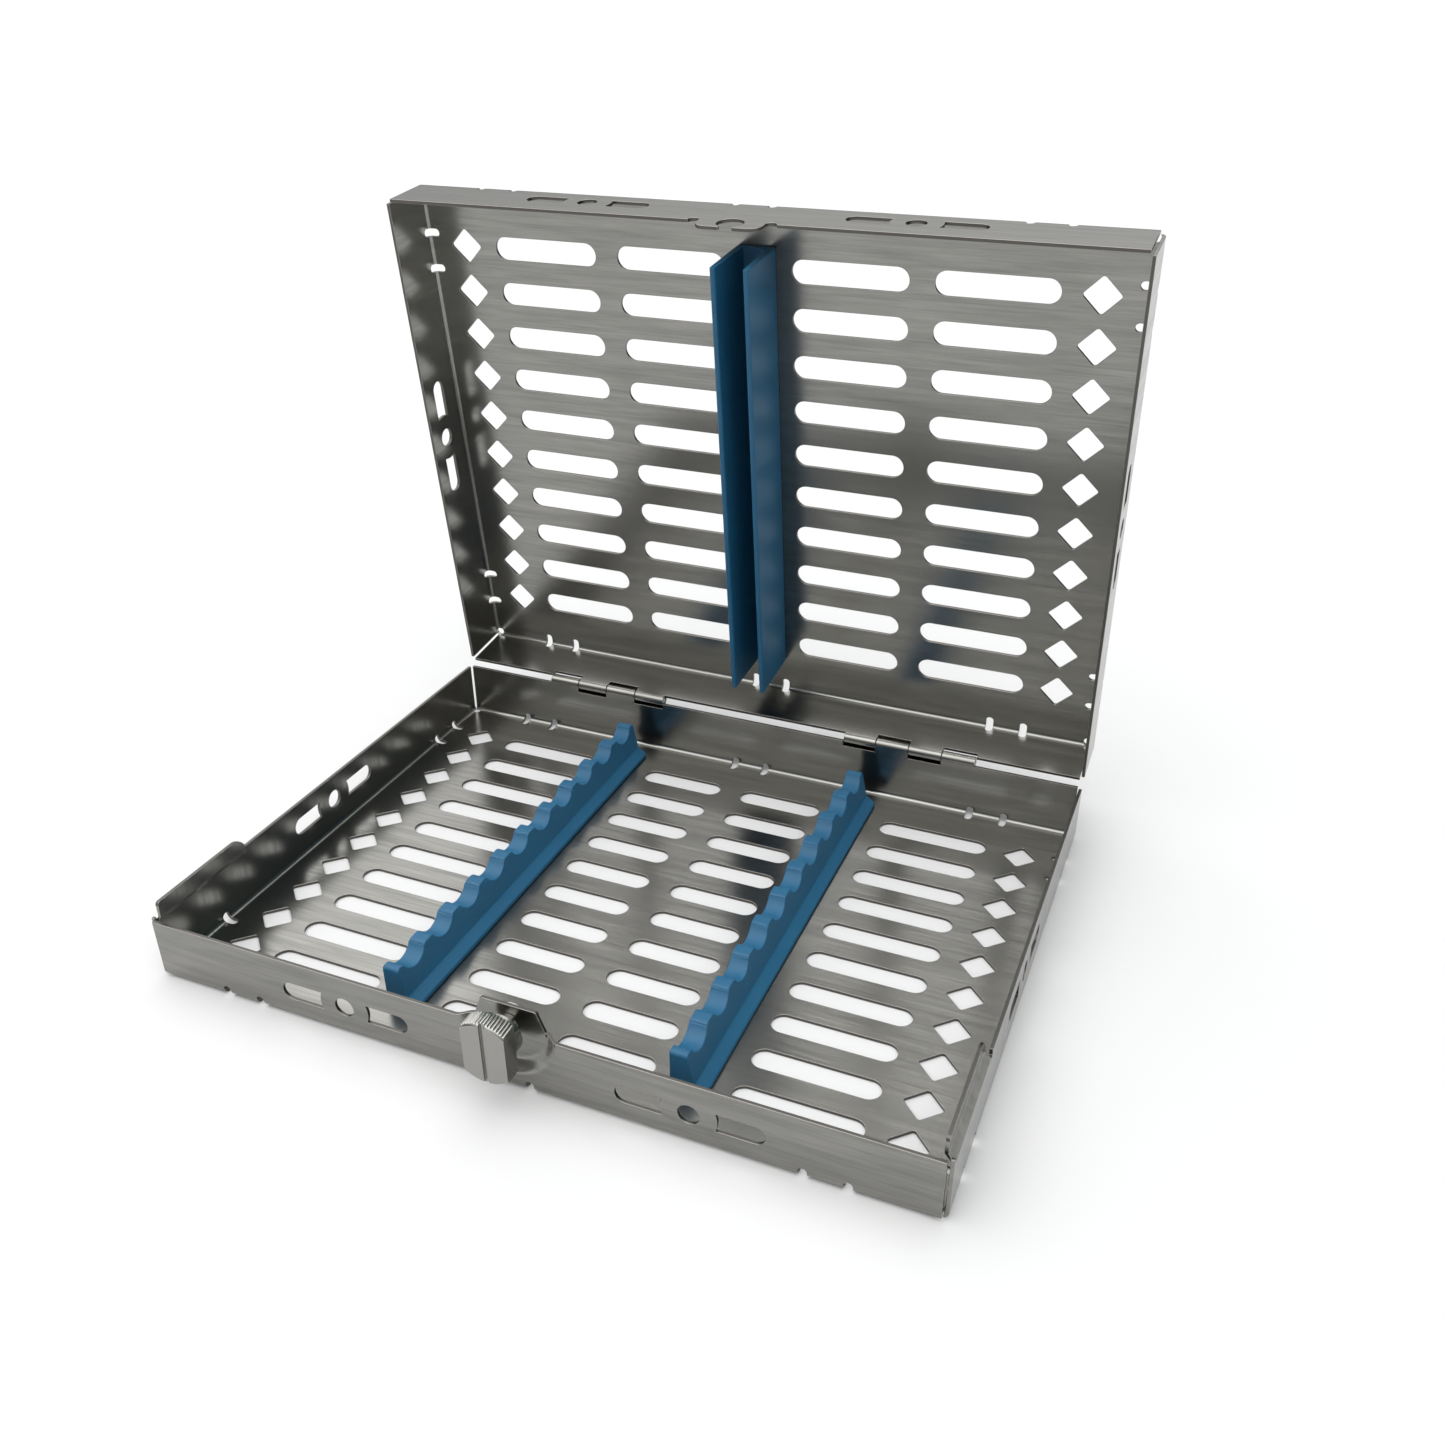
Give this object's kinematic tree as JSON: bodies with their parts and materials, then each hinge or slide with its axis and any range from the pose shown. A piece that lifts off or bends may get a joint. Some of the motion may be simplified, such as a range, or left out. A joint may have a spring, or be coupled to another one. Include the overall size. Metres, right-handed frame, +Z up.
{
  "type": "instrument tray",
  "caption": "Folding perforated steel steriliser cassette: instrument tray with hinged lid, quarter-turn latch knob, notched silicone instrument racks and a finned hold-down strip.",
  "frame": {"origin": "middle of the tray's underside, half way between its side walls and between its front and back walls", "axes": "+X to the right seen from the latch side, +Y from the latch towards the hinges, +Z up; the tray rests on the plane z = 0 with the lid open 83.4 degrees"},
  "size_m": [0.2054, 0.178, 0.1703],
  "materials": {
    "tray_steel": "fine grain brushed stainless sheet",
    "lid_steel": "fine grain brushed stainless sheet",
    "knob_steel": "bead blasted and knurled stainless",
    "pin_steel": "drawn stainless",
    "blue_silicone": "satin moulded silicone"
  },
  "bodies": {
    "tray": {"base_tray": "tray_steel", "left_hinge_pin": "pin_steel", "right_hinge_pin": "pin_steel", "left_rack": "blue_silicone", "right_rack": "blue_silicone"},
    "lid": {"lid": "lid_steel", "hold_down_strip": "blue_silicone"},
    "latch": {"latch_knob": "knob_steel", "spring_washer": "pin_steel", "flat_washer": "pin_steel", "retaining_ring": "pin_steel"}
  },
  "joints": [
    {"name": "lid_hinge", "type": "hinge", "parent": "tray", "child": "lid", "pos_m": [0, 0.07635, 0.01765], "axis": [-1, 0, 0], "range_deg": [-83.4, 96.6]},
    {"name": "latch_turn", "type": "hinge", "parent": "tray", "child": "latch", "pos_m": [0, -0.0733, 0.0172], "axis": [0, 1, 0], "range_deg": [0, 90]}
  ]
}
